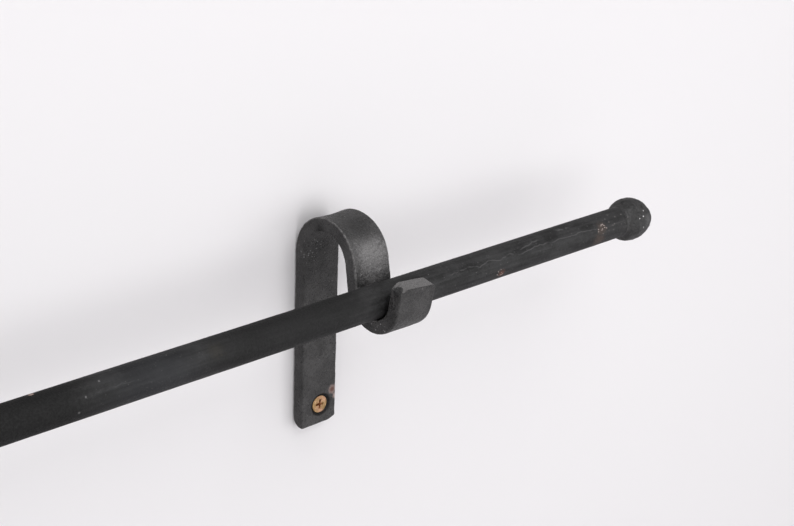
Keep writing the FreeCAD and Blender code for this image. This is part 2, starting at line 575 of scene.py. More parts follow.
class Dressing:
    """One material being built: its wiring, its place sockets and the shared effects."""

    def __init__(self, name: str, effects: Effects, shift: Vector) -> None:
        """Start an empty material.

        Args:
            name: Its name.
            effects: The shared node groups.
            shift: Moves the patterns, so that two pieces don't match.
        """
        self.material = bpy.data.materials.new(name)
        self.material.use_nodes = True
        self.material.node_tree.nodes.clear()
        self.effects = effects
        self.wiring = Wiring(self.material.node_tree)
        self.fixed = self.wiring.node("ShaderNodeTexCoord").outputs["Object"]
        self.moved = self.wiring.vector("ADD", self.fixed, shift)

    def effect(
        self, tree: bpy.types.NodeTree, stays: bool = False, **values: object
    ) -> bpy.types.NodeOutputs:
        """Place one shared group.

        Args:
            tree: The group.
            stays: Whether its place is the true one and not the shifted one.
            values: Its other inputs.

        Returns:
            The group's outputs.
        """
        feeds = {"Place": self.fixed if stays else self.moved} | values
        return self.wiring.node("ShaderNodeGroup", feeds, node_tree=tree).outputs

    def patched(
        self, colour: Signal, rough: Signal, patches: Sequence[Patch]
    ) -> tuple[Signal, Signal]:
        """Lay patches over a colour and a roughness.

        Args:
            colour: The colour so far.
            rough: The roughness so far.
            patches: What to lay on.

        Returns:
            The new colour and roughness.
        """
        wiring = self.wiring
        for patch in patches:
            shape = {"Centre": patch.centre, "Radius": patch.radius}
            shape |= {"Ragged": patch.ragged, "Core": patch.core}
            mask = self.effect(self.effects.patch, True, **shape)["Mask"]
            if patch.flecks > 0.0:
                flecks = {"Scale": patch.fleck_scale, "Size": 0.3, "Share": patch.flecks}
                mask = wiring.times(mask, self.effect(self.effects.specks, **flecks)["Mask"])
            colour = wiring.blend(wiring.times(mask, patch.strength), colour, patch.colour)
            rough = wiring.plus(rough, wiring.times(mask, patch.rougher))
        return colour, rough

    def finish(
        self, height: Signal, depth: float, shading: dict[str, object]
    ) -> bpy.types.Material:
        """Join everything to one Principled shader.

        Args:
            height: The relief.
            depth: The relief's full depth.
            shading: The shader's other inputs, by name.

        Returns:
            The material.
        """
        dent = self.wiring.node("ShaderNodeBump", {"Height": height, "Distance": depth})
        shader = self.wiring.node("ShaderNodeBsdfPrincipled", shading | {"Normal": dent.outputs[0]})
        out = self.wiring.node("ShaderNodeOutputMaterial")
        self.wiring.tree.links.new(shader.outputs[0], out.inputs["Surface"])
        return self.material


@dataclass(frozen=True)
class BlackSteel:
    """Blackened steel: mottled, grained, worn along its arrises, with chips, worn patches and
    patches of painted highlight and shade.
    """

    name: str
    slot: str
    dark: Colour
    light: Colour
    worn: Colour
    mottle_scale: float = 110.0
    mottle_contrast: float = 0.14
    fine_scale: float = 1100.0
    grain_scale: float = 1500.0
    grain_depth: float = 0.00022
    pits: float = 0.35
    wear: float = 0.55
    speck_scale: float = 420.0
    speck_share: float = 0.12
    speck_size: float = 0.12
    scratch_share: float = 0.1
    scratch_depth: float = 0.0
    streaks: float = 0.0
    roughness: float = 0.42
    rough_spread: float = 0.16
    metallic: float = 0.1
    shine: float = 0.5
    patches: tuple[Patch, ...] = ()
    seams: tuple[Seam, ...] = ()

    def material(self, effects: Effects, shift: Vector) -> bpy.types.Material:
        """Build the material.

        Args:
            effects: The shared node groups.
            shift: Moves the patterns, so that two pieces don't match.

        Returns:
            The material.
        """
        work = Dressing(self.name, effects, shift)
        wiring = work.wiring
        cloudy = {"Scale": self.mottle_scale, "Contrast": self.mottle_contrast}
        broad = work.effect(effects.mottling, **cloudy)["Mask"]
        fine = work.effect(effects.mottling, Scale=self.fine_scale, Contrast=0.12)["Mask"]
        tone = wiring.plus(wiring.times(broad, 0.5), wiring.times(fine, 0.5))
        scratched = work.effect(effects.scratches, Share=self.scratch_share)
        streak = wiring.minus(scratched["Height"], 0.5)
        tone = wiring.plus(tone, wiring.times(streak, self.streaks), clamp=True)
        colour = wiring.blend(tone, self.dark, self.light)
        worn = work.effect(effects.arris_wear, Amount=self.wear)["Mask"]
        colour = wiring.blend(wiring.times(worn, 0.8), colour, self.worn)
        height = work.effect(effects.grain, Scale=self.grain_scale, Pits=self.pits)["Height"]
        rough = wiring.times(fine, self.rough_spread)
        rough = wiring.plus(rough, self.roughness - self.rough_spread / 2)
        rough = wiring.minus(rough, wiring.times(worn, 0.1))
        colour = wiring.blend(wiring.times(scratched["Mask"], 0.5), colour, self.worn)
        height = wiring.plus(height, wiring.times(streak, self.scratch_depth))
        for seam in self.seams:
            course = {"Start": seam.start, "End": seam.end, "Level": seam.z, "Slope": seam.slope}
            run = work.effect(effects.seam, True, **course)["Mask"]
            mark = wiring.times(run, seam.strength)
            colour = wiring.blend(mark, colour, self.worn)
            height = wiring.plus(height, wiring.times(mark, 1.2))
        chips = {"Scale": self.speck_scale, "Size": self.speck_size, "Share": self.speck_share}
        chipped = wiring.times(work.effect(effects.specks, **chips)["Mask"], 0.8)
        colour = wiring.blend(chipped, colour, grey(0.35, 0.03))
        colour, rough = work.patched(colour, rough, self.patches)
        shading = {"Base Color": colour, "Roughness": rough, "Metallic": self.metallic}
        return work.finish(height, self.grain_depth, shading | {"Specular IOR Level": self.shine})


@dataclass(frozen=True)
class BrightSteel:
    """Turned or plated bright metal with fine tool marks and a little grime."""

    name: str
    slot: str
    base: Colour
    stain: Colour
    grime: Colour
    roughness: float = 0.3
    metallic: float = 0.9
    mark_scale: float = 2200.0
    mark_depth: float = 0.06 * MM

    def material(self, effects: Effects, shift: Vector) -> bpy.types.Material:
        """Build the material.

        Args:
            effects: The shared node groups.
            shift: Moves the patterns, so that two pieces don't match.

        Returns:
            The material.
        """
        work = Dressing(self.name, effects, shift)
        wiring = work.wiring
        stained = work.effect(effects.mottling, Scale=430.0, Contrast=0.12)["Mask"]
        dirty = work.effect(effects.mottling, Scale=900.0, Contrast=0.1)["Mask"]
        colour = wiring.blend(stained, self.base, self.stain)
        colour = wiring.blend(wiring.times(dirty, 0.35), colour, self.grime)
        grain = work.effect(effects.grain, Scale=self.mark_scale, Pits=0.2)["Height"]
        rough = wiring.plus(wiring.times(dirty, 0.16), self.roughness)
        shading = {"Base Color": colour, "Roughness": rough, "Metallic": self.metallic}
        return work.finish(grain, self.mark_depth, shading)


def dress(
    piece: bpy.types.Object,
    finish: BlackSteel | BrightSteel,
    effects: Effects,
    body: str,
    node: str,
    shift: Vector,
) -> None:
    """Give a piece its material and tie it to the frame.

    Args:
        piece: The piece.
        finish: Its finish.
        effects: The shared node groups.
        body: The CAD body it moves with.
        node: The CAD node it stands for.
        shift: Moves the finish's patterns.
    """
    piece.data.materials.clear()
    piece.data.materials.append(finish.material(effects, shift))
    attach(piece, body)
    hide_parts(node)
    log.info("%s: %d faces, on %s", piece.name, len(piece.data.polygons), body)


# ---------------------------------------------------------------- brackets


@dataclass(frozen=True)
class Station:
    """One place along the strap's middle line, in the YZ plane."""

    along: float
    y: float
    z: float
    heading: float

    def beside(self) -> Vector:
        """Unit vector across the strap's thickness, towards the wall on the leg."""
        return Vector((0.0, math.cos(self.heading), math.sin(self.heading)))

    def ahead(self) -> Vector:
        """Unit vector along the strap, from the foot to the tip."""
        return Vector((0.0, -math.sin(self.heading), math.cos(self.heading)))


@dataclass
class ForgedBracket:
    """One bracket: a flat strap bent into a leg, a crook, a limb and an open hook.

    It is worked out as the right-hand one, with x from the strap's middle and growing away from the
    rod's middle, and placed or mirrored at the end.
    """

    side: Side
    thickness: float = 7.0 * MM
    crook_radius: float = 21.5 * MM
    crook_turn: float = math.radians(170.0)
    limb_length: float = 13.0 * MM
    hook_radius: float = 10.4 * MM
    hook_turn: float = math.radians(159.0)
    tip_length: float = 13.8 * MM
    arris: float = 1.0 * MM
    mesh_step: float = 0.62 * MM
    foot_round: float = 6.2 * MM
    foot_clip: tuple[float, float] = (4.7 * MM, 1.6 * MM)
    tip_skew: float = 2.3 * MM
    tip_clip: tuple[float, float] = (4.2 * MM, 2.8 * MM)
    tip_far_clip: tuple[float, float] = (1.8 * MM, 1.6 * MM)
    cut_softness: float = 0.45 * MM
    crook_hollow: float = 0.7 * MM
    crook_narrowing: float = 1.5 * MM
    sink_radius: float = 6.35 * MM
    hole_radius: float = 2.75 * MM
    hole_sides: int = 72
    screw_offset: float = 1.4 * MM
    end_shares: tuple[float, ...] = (0.985, 0.95, 0.88, 0.74, 0.56, 0.36, 0.16)
    tip_rubbing: float = 1.3
    unevenness: Ripples = (
        (0.10 * MM, 16.0 * MM, 0.0, 2),
        (0.07 * MM, 5.0 * MM, 5.0, 2),
        (0.03 * MM, 1.6 * MM, 9.0, 2),
    )
    arris_unevenness: Ripples = ((0.3 * MM, 3.0 * MM, 2.0, 3),)
    hook_clearance: float = 0.05 * MM
    crescent_middle: Point = (4.9 * MM, -43.7 * MM, 81.9 * MM)
    crescent_radius: float = 2.1 * MM
    crescent_width: float = 0.8 * MM
    crescent_depth: float = 0.35 * MM

    def __post_init__(self) -> None:
        """Read the strap's place and width from the frame."""
        low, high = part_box(f"{self.side.word}_bracket")
        self.middle_x = (low.x + high.x) / 2
        self.width = high.x - low.x
        self.foot = low.z
        self.leg_top = high.z - self.crook_radius
        middle_radius = self.crook_radius - self.thickness / 2
        self.crook_end = self.leg_top - self.foot + middle_radius * self.crook_turn
        self.seed = 3.1 if self.side is Side.RIGHT else 8.7

    def stations(self) -> list[Station]:
        """Places along the middle line, from the foot to the tip."""
        half = self.thickness / 2
        steps = [
            (self.leg_top - self.foot, 0.0, 0.0),
            (0.0, self.crook_radius - half, self.crook_turn),
            (self.limb_length, 0.0, 0.0),
            (0.0, self.hook_radius + half, -self.hook_turn),
            (self.tip_length + self.thickness / 4, 0.0, 0.0),
        ]
        found = [Station(0.0, -half, self.foot, 0.0)]
        for run, radius, turn in steps:
            here = found[-1]
            length = run or radius * abs(turn)
            count = math.ceil(length / self.mesh_step)
            for step in range(1, count + 1):
                share = step / count
                heading = here.heading + turn * share
                if run:
                    move = here.ahead() * (run * share)
                else:
                    inward = -math.copysign(radius, turn)
                    later = Station(0.0, 0.0, 0.0, heading)
                    move = (here.beside() - later.beside()) * inward
                found.append(
                    Station(here.along + length * share, here.y + move.y, here.z + move.z, heading)
                )
        return found

    def section(self) -> list[tuple[float, float, float]]:
        """The strap's section, as (across the width, through it, nearness to an arris)."""
        wide, deep, corner = self.width / 2, self.thickness / 2, self.arris
        outline: list[tuple[float, float]] = []
        bends = 4
        for quarter in range(4):
            sign_x = (1, -1, -1, 1)[quarter]
            sign_y = (1, 1, -1, -1)[quarter]
            start = quarter * math.pi / 2
            middle = (sign_x * (wide - corner), sign_y * (deep - corner))
            for step in range(bends + 1):
                angle = start + step * math.pi / 2 / bends
                outline.append(
                    (middle[0] + corner * math.cos(angle), middle[1] + corner * math.sin(angle))
                )
            flat = 2 * (wide - corner) if quarter % 2 == 0 else 2 * (deep - corner)
            count = math.ceil(flat / self.mesh_step)
            last = outline[-1]
            heading = start + math.pi
            for step in range(1, count):
                run = flat * step / count
                outline.append(
                    (last[0] + run * math.cos(heading), last[1] + run * math.sin(heading))
                )
        return [(a, b, self._arris_share(a, b)) for a, b in outline]

    def _arris_share(self, across: float, through: float) -> float:
        """Nearness to the strap's long arrises: 1 on one and 0 well away."""
        from_side = self.width / 2 - abs(across)
        from_face = self.thickness / 2 - abs(through)
        corner_inset = 0.59 * self.arris
        fade = 0.8 * MM
        return math.exp(-(((from_side + from_face - corner_inset) / fade) ** 2))

    def build(self) -> bpy.types.Object:
        """Build the bracket's mesh.

        Returns:
            The piece.
        """
        stations = self.stations()
        section = self.section()
        rows = [(station, 1.0, 0.0) for station in stations]
        rows = [(stations[0], share, 1.0) for share in reversed(self.end_shares)] + rows
        rows += [(stations[-1], share, 1.0) for share in self.end_shares]
        points: list[Vector] = []
        arrises: list[float] = []
        for station, share, on_cap in rows:
            for across, through, near in section:
                sag = self._sag(station, across) if through > 0.0 else 0.0
                drawn_in = 1.0 - self._bend(station) * self.crook_narrowing / self.width
                point = Vector((across * share * drawn_in, station.y, station.z))
                point += station.beside() * ((through - sag) * share)
                moved, cut_edge = self._cut(point, station, stations[-1])
                points.append(moved)
                edge = cut_edge if on_cap else near * self._handled(station, across, through)
                tip_end = self.tip_rubbing if on_cap and station is stations[-1] else 0.0
                arrises.append(max(edge, cut_edge, tip_end))
        count = len(section)
        faces = bands(len(rows), count)
        faces.append(list(range(count)))
        faces.append(list(range((len(rows) - 1) * count, len(rows) * count)))
        piece = new_piece(f"{self.side.word}_forged_bracket", points, faces)
        relieve(piece, self._forging)
        nearness = piece.data.attributes.new("arris", "FLOAT", "POINT")
        nearness.data.foreach_set("value", arrises)
        cut_away(piece, self._hole_cutter())
        self._place(piece)
        sharpen(piece, 38.0)
        return piece

    def _bend(self, station: Station) -> float:
        """How strongly the crook's bend has worked the strap: 1 at its top and 0 outside it."""
        if not 0.0 < station.heading < self.crook_turn or station.along > self.crook_end:
            return 0.0
        return math.sin(math.pi * station.heading / self.crook_turn) ** 2

    def _sag(self, station: Station, across: float) -> float:
        """How far the outer face of the crook is hollowed between its two edges by the bending."""
        return self.crook_hollow * self._bend(station) * (1.0 - (2.0 * across / self.width) ** 2)

    def _handled(self, station: Station, across: float, through: float) -> float:
        """How much an arris has been rubbed: most along the crook's outer edge and the hook."""
        if station.along < self.leg_top - self.foot:
            return 0.45
        return 1.0 if across < 0.0 and through > 0.0 else 0.7

    def _cut(self, point: Vector, station: Station, tip: Station) -> tuple[Vector, float]:
        """Shape the two ends: round and clip the foot, skew and clip the tip.

        Args:
            point: A point on the uncut strap.
            station: The station that it belongs to.
            tip: The last station.

        Returns:
            The point as cut, and its nearness to a cut's edge.
        """
        moved = point.copy()
        near = 0.0
        at_foot = station.along < 2 * self.foot_round
        at_tip = tip.along - station.along < self.tip_length
        centre = Vector((0.0, -self.foot_round, self.foot + self.foot_round))
        if at_foot and moved.y > centre.y and moved.z < centre.z:
            away = math.hypot(moved.y - centre.y, moved.z - centre.z)
            kept = self.foot_round + soft_limit(away - self.foot_round, self.cut_softness)
            if away > 0.0:
                moved.y = centre.y + (moved.y - centre.y) * kept / away
                moved.z = centre.z + (moved.z - centre.z) * kept / away
        ahead = tip.ahead()
        end = Vector((0.0, tip.y, tip.z)) - ahead * (self.thickness / 4)
        half = self.width / 2
        left, right = end - X_AXIS * half, end + X_AXIS * half
        slope = self.tip_skew / self.width
        planes = []
        if at_tip:
            wide, tall = self.tip_clip
            far_wide, far_tall = self.tip_far_clip
            planes = [
                (left, ahead + X_AXIS * slope),
                (left - ahead * tall, ahead * wide - X_AXIS * tall),
                (right - ahead * (self.tip_skew + far_tall), ahead * far_wide + X_AXIS * far_tall),
            ]
        if at_foot:
            wide, tall = self.foot_clip
            planes = [(Vector((half, 0.0, self.foot + tall)), Vector((tall, 0.0, -wide)))]
        reach, fade, rubbing = 3.0 * MM, 0.9 * MM, 0.6
        for place, direction in planes:
            outward = direction.normalized()
            past = (moved - place).dot(outward)
            if past > -reach:
                near = max(near, rubbing * math.exp(-((past / fade) ** 2)))
            moved += outward * (soft_limit(past, self.cut_softness) - past)
        return moved, near

    def _forging(self, place: Vector, normal: Vector) -> float:
        """Depth of the forged unevenness at a place on the strap."""
        sideways = abs(normal.x)
        corner = 1.0 - max(sideways, math.sqrt(max(0.0, 1.0 - sideways * sideways)))
        height = rippled(place, self.seed, self.unevenness)
        height += corner * rippled(place, self.seed, self.arris_unevenness)
        height += self._crescent(place)
        on_face = normal.y * normal.y + normal.z * normal.z > 0.5
        in_hook = on_face and place.y < -40.0 * MM and place.z < 93.0 * MM
        return min(height, self.hook_clearance) if in_hook else height

    def _crescent(self, place: Vector) -> float:
        """The hammer's crescent-shaped mark low on the front of the limb."""
        away = place - Vector(self.crescent_middle)
        if abs(away.y) > 2.5 * MM or away.z < -0.8 * MM:
            return 0.0
        from_ring = abs(math.hypot(away.x, away.z) - self.crescent_radius)
        return -self.crescent_depth * bump(from_ring, self.crescent_width)

    def _hole_cutter(self) -> bpy.types.Object:
        """The countersunk screw hole, as a tool to cut with."""
        centre = Vector((self.screw_offset, -self.thickness, 0.0))
        spare = 2.0 * MM
        cone = self.sink_radius - self.hole_radius
        rings = [(-spare, 0.0), (-spare, self.sink_radius + spare), (cone, self.hole_radius)]
        rings += [(self.thickness + spare, self.hole_radius), (self.thickness + spare, 0.0)]
        points, faces = lathe(rings, self.hole_sides, around(centre, Axis.INTO_WALL))
        return new_piece("hole_cutter", points, faces)

    def _place(self, piece: bpy.types.Object) -> None:
        """Move the finished mesh to its own end of the rod, mirrored on the left."""
        mesh = piece.data
        for vertex in mesh.vertices:
            vertex.co.x = self.middle_x + self.side.value * vertex.co.x
        if self.side is Side.LEFT:
            mesh.flip_normals()
        mesh.update()


# ---------------------------------------------------------------- screws, studs and inserts


@dataclass
class WoodScrew:
    """Countersunk fixing screw with a cross recess, a plain neck and a coarse thread."""

    side: Side
    turned: float
    head_radius: float = 4.55 * MM
    head_land: float = 0.3 * MM
    neck_radius: float = 1.85 * MM
    core_radius: float = 1.75 * MM
    point_length: float = 7.0 * MM
    pitch: float = 2.2 * MM
    thread_radius: float = 2.5 * MM
    edge: float = 0.12 * MM
    drive_depth: float = 2.3 * MM
    sides: int = 48

    def __post_init__(self) -> None:
        """Read the screw's place and size from the frame."""
        low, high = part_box(f"{self.side.word}_bracket_screw")
        self.centre = Vector(((low.x + high.x) / 2, low.y, (low.z + high.z) / 2))
        self.length = high.y - low.y
        self.thread_start = -low.y

    def _ridge(self, along: float, angle: float) -> float:
        """Height of the thread above the core, as a share of its full height."""
        phase = (along / self.pitch - angle / math.tau) % 1.0
        return max(0.0, 1.0 - abs(phase - 0.5) / 0.2)

    def build(self) -> bpy.types.Object:
        """Build the screw's mesh.

        Returns:
            The piece.
        """
        cone_end = self.head_land + self.head_radius - self.neck_radius
        rings = [(0.0, 0.0)]
        rings += [(0.0, self.head_radius * share) for share in (0.2, 0.4, 0.6, 0.8)]
        rings += [(0.0, self.head_radius - self.edge), (self.edge, self.head_radius)]
        rings += [(self.head_land, self.head_radius)]
        rings += [(cone_end, self.neck_radius), (self.thread_start, self.neck_radius)]
        for along in spaced(self.thread_start + 0.1 * MM, self.length - 0.3 * MM, self.pitch / 10):
            taper = min(1.0, (self.length - along) / self.point_length)
            rings.append((along, self.core_radius * max(taper, 0.08)))
        rings.append((self.length, 0.0))
        base = around(self.centre, Axis.INTO_WALL)

        def place(along: float, radius: float, angle: float) -> Vector:
            """Vertex on the head, neck or thread."""
            if along > self.thread_start and radius > 0.0:
                taper = min(1.0, (self.length - along) / self.point_length)
                rise = min(1.0, (along - self.thread_start) / self.pitch)
                height = (self.thread_radius - self.core_radius) * taper * rise
                radius += height * self._ridge(along, angle)
            return base(along, radius, angle)

        points, faces = lathe(rings, self.sides, place)
        piece = new_piece(f"{self.side.word}_wood_screw", points, faces)
        cut_away(piece, self._drive_cutter())
        sharpen(piece, 35.0)
        return piece

    def _drive_cutter(self) -> bpy.types.Object:
        """The cross recess, narrowing towards its bottom, as a tool to cut with."""
        levels = (
            # depth, reach of an arm, half its width
            (-1.0 * MM, 2.75 * MM, 0.7 * MM),
            (0.0, 2.6 * MM, 0.64 * MM),
            (self.drive_depth, 0.95 * MM, 0.36 * MM),
        )
        points: list[Vector] = []
        for along, arm, half in levels:
            for quarter in range(4):
                turn = quarter * math.pi / 2 + self.turned
                for reach, off in ((arm, -half), (arm, half), (half, half)):
                    across = reach * math.cos(turn) - off * math.sin(turn)
                    up = reach * math.sin(turn) + off * math.cos(turn)
                    points.append(self.centre + Vector((across, along, up)))
        corners = 12
        faces: Faces = [list(range(corners)), list(range(2 * corners, 3 * corners))]
        return new_piece("drive_cutter", points, faces + bands(len(levels), corners))


@dataclass
class FinialStud:
    """Threaded stud between an insert and its finial."""

    side: Side
    pitch: float = 1.25 * MM
    thread_depth: float = 0.62 * MM
    chamfer: float = 0.8 * MM
    sides: int = 48

    def build(self) -> bpy.types.Object:
        """Build the stud's mesh.

        Returns:
            The piece.
        """
        centre, radius, length = end_place(self.side, "finial_stud")
        base = around(centre, Axis.ALONG_ROD, self.side.value)
        start = self.chamfer / 2
        rings = [(0.0, 0.0), (0.0, radius - self.chamfer)]
        rings += [(along, radius) for along in spaced(start, length - start, self.pitch / 8)]
        rings += [(length, radius - self.chamfer), (length, 0.0)]

        def place(along: float, size: float, angle: float) -> Vector:
            """Vertex on the stud's thread or ends."""
            if size == radius:
                from_end = min(along, length - along)
                size = min(size, radius - self.chamfer + from_end)
                phase = (along / self.pitch - angle / math.tau) % 1.0
                size -= self.thread_depth * abs(2.0 * phase - 1.0)
            return base(along, size, angle)

        points, faces = lathe(rings, self.sides, place)
        piece = new_piece(f"{self.side.word}_threaded_stud", points, faces)
        sharpen(piece, 60.0)
        return piece


@dataclass
class EndInsert:
    """Tapped bush in the tube's end."""

    side: Side
    bore: float = 4.05 * MM
    chamfer: float = 0.7 * MM
    groove: float = 0.35 * MM
    groove_spacing: float = 3.0 * MM
    sides: int = 64

    def build(self) -> bpy.types.Object:
        """Build the insert's mesh.

        Returns:
            The piece.
        """
        centre, radius, length = end_place(self.side, "end_insert")
        broken, mouth = radius - self.chamfer, self.bore + self.chamfer
        rings = [(0.0, mouth), (0.0, broken), (self.chamfer, radius)]
        step, half = self.groove_spacing, 0.5 * MM
        for along in spaced(step, length - step, step):
            rings += [(along - half, radius), (along, radius - self.groove), (along + half, radius)]
        rings += [(length - self.chamfer, radius), (length, broken), (length, mouth)]
        rings += [(length - self.chamfer, self.bore), (self.chamfer, self.bore)]
        placing = around(centre, Axis.ALONG_ROD, self.side.value)
        points, faces = lathe(rings, self.sides, placing, closed=True)
        piece = new_piece(f"{self.side.word}_tapped_insert", points, faces)
        sharpen(piece, 30.0)
        return piece


# ---------------------------------------------------------------- rod and finials


@dataclass
class Rod:
    """The tube, with its ends slightly broken and its surface a little uneven."""

    wall: float = 1.5 * MM
    chamfer: float = 0.08 * MM
    mesh_step: float = 1.6 * MM
    sides: int = 72

    def build(self) -> bpy.types.Object:
        """Build the rod's mesh.

        Returns:
            The piece.
        """
        low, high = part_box("rod_tube")
        radius = (high.z - low.z) / 2
        bore = radius - self.wall
        length = high.x - low.x
        centre = Vector((low.x, (low.y + high.y) / 2, (low.z + high.z) / 2))
        start, end = self.chamfer, length - self.chamfer
        rings = [(0.0, bore + self.chamfer), (0.0, radius - self.chamfer)]
        rings += [(along, radius) for along in spaced(start, end, self.mesh_step)]
        rings += [(length, radius - self.chamfer), (length, bore + self.chamfer)]
        rings += [(end, bore), (length / 2, bore), (start, bore)]
        points, faces = lathe(rings, self.sides, around(centre, Axis.ALONG_ROD), closed=True)
        piece = new_piece("blackened_rod", points, faces)

        def unevenness(place: Vector, normal: Vector) -> float:
            """Depth of the drawn unevenness at a place on the rod."""
            away = Vector((0.0, place.y - centre.y, place.z - centre.z))
            if away.length < radius - 0.5 * self.wall or abs(normal.x) > 0.5:
                return 0.0
            drawn = Vector((place.x * 0.12, place.y, place.z))
            height = 0.05 * MM * wander(drawn, 6.0 * MM, 1.3, 2)
            height += 0.03 * MM * wander(place, 9.0 * MM, 4.4, 2)
            return min(height, 0.05 * MM)

        relieve(piece, unevenness)
        sharpen(piece, 40.0)
        return piece


@dataclass
class BallFinial:
    """Lumpy egg-shaped ball that seats on the tube's end."""

    side: Side
    half_length: float = 14.5 * MM
    seat_radius: float = 7.95 * MM
    seat_reach: float = 0.1 * MM
    fillet: float = 0.6 * MM
    hole_radius: float = 4.05 * MM
    hole_depth: float = 13.0 * MM
    rings_on_ball: int = 84
    sides: int = 132
    lumps: Ripples = (
        (0.55 * MM, 9.0 * MM, 0.0, 2),
        (0.22 * MM, 3.2 * MM, 3.0, 3),
        (0.10 * MM, 1.1 * MM, 7.0, 2),
    )
    facet_reach: float = 6.0 * MM

    def __post_init__(self) -> None:
        """Read the ball's place and size from the frame."""
        self.seat, self.radius, self.length = end_place(self.side, "ball_finial")
        self.seed = 2.4 if self.side is Side.RIGHT else 6.9

    def build(self) -> bpy.types.Object:
        """Build the ball's mesh.

        Returns:
            The piece.
        """
        behind = self.length - self.half_length
        start = math.acos(-behind / self.half_length)
        cone, mouth = 2.0 * MM, 0.6 * MM
        rings = [(self.hole_depth + cone, 0.0), (self.hole_depth, self.hole_radius)]
        rings += [(share * self.hole_depth, self.hole_radius) for share in (0.66, 0.33)]
        rings += [(mouth, self.hole_radius), (-self.seat_reach, self.hole_radius + mouth)]
        rings += [(-self.seat_reach, 0.8 * self.seat_radius), (-self.seat_reach, self.seat_radius)]
        for step in range(self.rings_on_ball):
            angle = start * (1.0 - step / self.rings_on_ball)
            along = behind + self.half_length * math.cos(angle)
            rings.append((along, self._profile(along)))
        rings.append((self.length, 0.0))
        base = around(self.seat, Axis.ALONG_ROD, self.side.value)
        points, faces = lathe(rings, self.sides, base)
        piece = new_piece(f"{self.side.word}_lumpy_ball", points, faces)
        relieve(piece, self._lumps)
        sharpen(piece, 55.0)
        return piece

    def _profile(self, along: float) -> float:
        """Radius of the bare ball: round behind its middle, and drawn out to an egg in front."""
        from_middle = along - (self.length - self.half_length)
        reach = self.radius if from_middle < 0.0 else self.half_length
        share = min(1.0, abs(from_middle) / reach)
        bare = self.radius * math.sqrt(1.0 - share * share)
        if from_middle > 0.0:
            return bare
        return self.seat_radius - soft_limit(self.seat_radius - bare, self.fillet)

    def _lumps(self, place: Vector, normal: Vector) -> float:
        """Depth of the ball's lumps, facets and flow towards the seat."""
        along = (place.x - self.seat.x) * self.side.value
        away = math.hypot(place.y - self.seat.y, place.z - self.seat.z)
        if away < self.hole_radius + 1.5 * MM and along < self.hole_depth + 3 * MM:
            return 0.0
        if along < -0.05 * MM:
            return 0.0
        low_side = max(0.0, (self.seat.z - place.z) / self.radius)
        neck = min(1.0, max(0.0, (along - 0.5 * MM) / (3.0 * MM)))
        height = rippled(place, self.seed, self.lumps)
        height += 1.3 * MM * low_side * bump(abs(along - 3.0 * MM), 5.0 * MM)
        for centre, depth in self._facets():
            height -= depth * bump((place - centre).length, self.facet_reach)
        return (height - 0.15 * MM) * neck * neck * (3.0 - 2.0 * neck)

    def _facets(self) -> list[tuple[Vector, float]]:
        """Middles and depths of the flats on the ball's outer end and above it."""
        end = Vector((self.side.value * (self.length - 1.5 * MM), -5.0 * MM, 4.5 * MM))
        above = Vector((self.side.value * (self.length - 6.0 * MM), -3.0 * MM, 7.6 * MM))
        return [(self.seat + end, 0.35 * MM), (self.seat + above, 0.9 * MM)]


# ---------------------------------------------------------------- finishes


def strap_finish(bracket: ForgedBracket) -> BlackSteel:
    """The forged bracket's finish, with the rusty place beside its screw, a painted highlight on
    the rubbed, glossier limb, and painted shade in the countersink, on the crook's top and in the
    crease of the bend.
    """

    def spot(x: float, y: float, z: float) -> Vector:
        """Place on the bracket in mm, from its own middle."""
        return Vector((bracket.middle_x + bracket.side.value * x * MM, y * MM, z * MM))

    rows = (
        # painted shade inside the countersink round the screw
        (1.4, -3.6, 0.0, 6.9, grey(0.005), 1.0, 0.1, 0.2, 0.93),
        # painted highlight on the limb's front, over a rubbed and glossier place
        (1.0, -42.2, 90.5, 15.0, grey(0.2, 0.01), 0.85, 1.5, -0.1, 0.25),
        # painted shade on the crook's top, above the limb's highlight
        (0.0, -32.0, 102.5, 12.0, grey(0.014), 0.85, 1.2, 0.0, 0.1),
        # painted shade in the crease at the inner side of the bend
        (-10.5, -17.0, 98.6, 4.6, grey(0.001), 0.9, 1.6, 0.1, 0.15),
        (-6.6, -7.0, 85.5, 8.0, grey(0.3), 0.75, 0.6, 0.0, 0.7, 0.3),
        (-11.0, -58.0, 62.0, 9.0, grey(0.4), 0.8, 0.6, 0.0, 0.7, 0.25),
        (-10.1, -71.1, 85.8, 2.7, grey(0.018), 0.95, 0.3, 0.0, 0.75),
        (8.7, -7.0, 6.6, 3.3, (0.30, 0.22, 0.20, 1.0), 0.8, 0.8, 0.1, 0.5),
        (8.5, -7.0, 6.5, 2.0, (0.13, 0.055, 0.04, 1.0), 0.95, 0.8, 0.1, 0.3),
        (10.6, -6.8, 2.6, 2.1, (0.50, 0.38, 0.35, 1.0), 0.85, 1.2, 0.1, 0.3),
    )
    return BlackSteel(
        name=f"Forged black steel {bracket.side.word}",
        slot="forged_black_steel",
        dark=grey(0.016, 0.015),
        light=grey(0.064, 0.015),
        worn=grey(0.17, 0.015),
        patches=laid_out(spot, rows),
        fine_scale=700.0,
        grain_scale=800.0,
        grain_depth=0.0009,
        roughness=0.43,
        rough_spread=0.4,
    )


